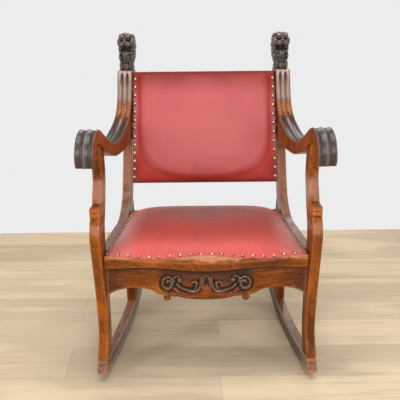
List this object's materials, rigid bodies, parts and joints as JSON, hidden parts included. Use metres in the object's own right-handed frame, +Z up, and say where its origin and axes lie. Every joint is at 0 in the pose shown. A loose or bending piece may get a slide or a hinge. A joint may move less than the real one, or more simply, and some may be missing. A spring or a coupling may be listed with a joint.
{
  "type": "rocking chair",
  "caption": "Carved oak rocking chair on curved runners, with scroll arms, lion-head back posts, and a red leather seat and back panel.",
  "frame": {"origin": "on the floor, below the middle of the chair's length and width", "axes": "+Z up; the chair faces -Y; +X is on the right of a viewer who stands in front of it"},
  "size_m": [0.6668, 0.735, 0.936],
  "materials": {
    "oak": "satin",
    "dark_oak": "satin",
    "raw_wood": "matte",
    "leather": "satin",
    "webbing": "matte",
    "burlap": "matte",
    "stuffing": "matte",
    "steel": "satin",
    "brass": "polished"
  },
  "bodies": {
    "root": {"left_runner": "dark_oak", "left_front_leg": "oak", "left_side_rail": "oak", "left_rear_leg": "dark_oak", "left_post_arm": "oak", "left_seat_cleat": "raw_wood", "left_front_runner_screw": "steel", "left_rear_runner_screw": "steel", "left_front_seat_screw": "steel", "left_rear_seat_screw": "steel", "left_lower_dowel": "raw_wood", "left_upper_dowel": "raw_wood", "right_runner": "dark_oak", "right_front_leg": "oak", "right_side_rail": "oak", "right_rear_leg": "dark_oak", "right_post_arm": "oak", "right_seat_cleat": "raw_wood", "right_front_runner_screw": "steel", "right_rear_runner_screw": "steel", "right_front_seat_screw": "steel", "right_rear_seat_screw": "steel", "right_lower_dowel": "raw_wood", "right_upper_dowel": "raw_wood", "apron": "oak", "rear_rail": "dark_oak", "seat_front_rail": "oak", "seat_rear_rail": "raw_wood", "seat_left_rail": "raw_wood", "seat_right_rail": "raw_wood", "seat_block_left_front": "raw_wood", "seat_block_left_rear": "raw_wood", "seat_block_right_front": "raw_wood", "seat_block_right_rear": "raw_wood", "back_bottom_rail": "raw_wood", "back_top_rail": "raw_wood", "back_left_stile": "raw_wood", "back_right_stile": "raw_wood", "seat_burlap": "burlap", "seat_stuffing": "stuffing", "seat_leather": "leather", "seat_webbing_long_1": "webbing", "seat_webbing_long_2": "webbing", "seat_webbing_long_3": "webbing", "seat_webbing_long_4": "webbing", "seat_webbing_cross_1": "webbing", "seat_webbing_cross_2": "webbing", "seat_webbing_cross_3": "webbing", "seat_webbing_cross_4": "webbing", "back_burlap": "burlap", "back_stuffing": "stuffing", "back_leather": "leather", "back_webbing_long_1": "webbing", "back_webbing_long_2": "webbing", "back_webbing_long_3": "webbing", "back_webbing_cross_1": "webbing", "back_webbing_cross_2": "webbing", "back_rear_leather": "leather"}
  },
  "joints": []
}
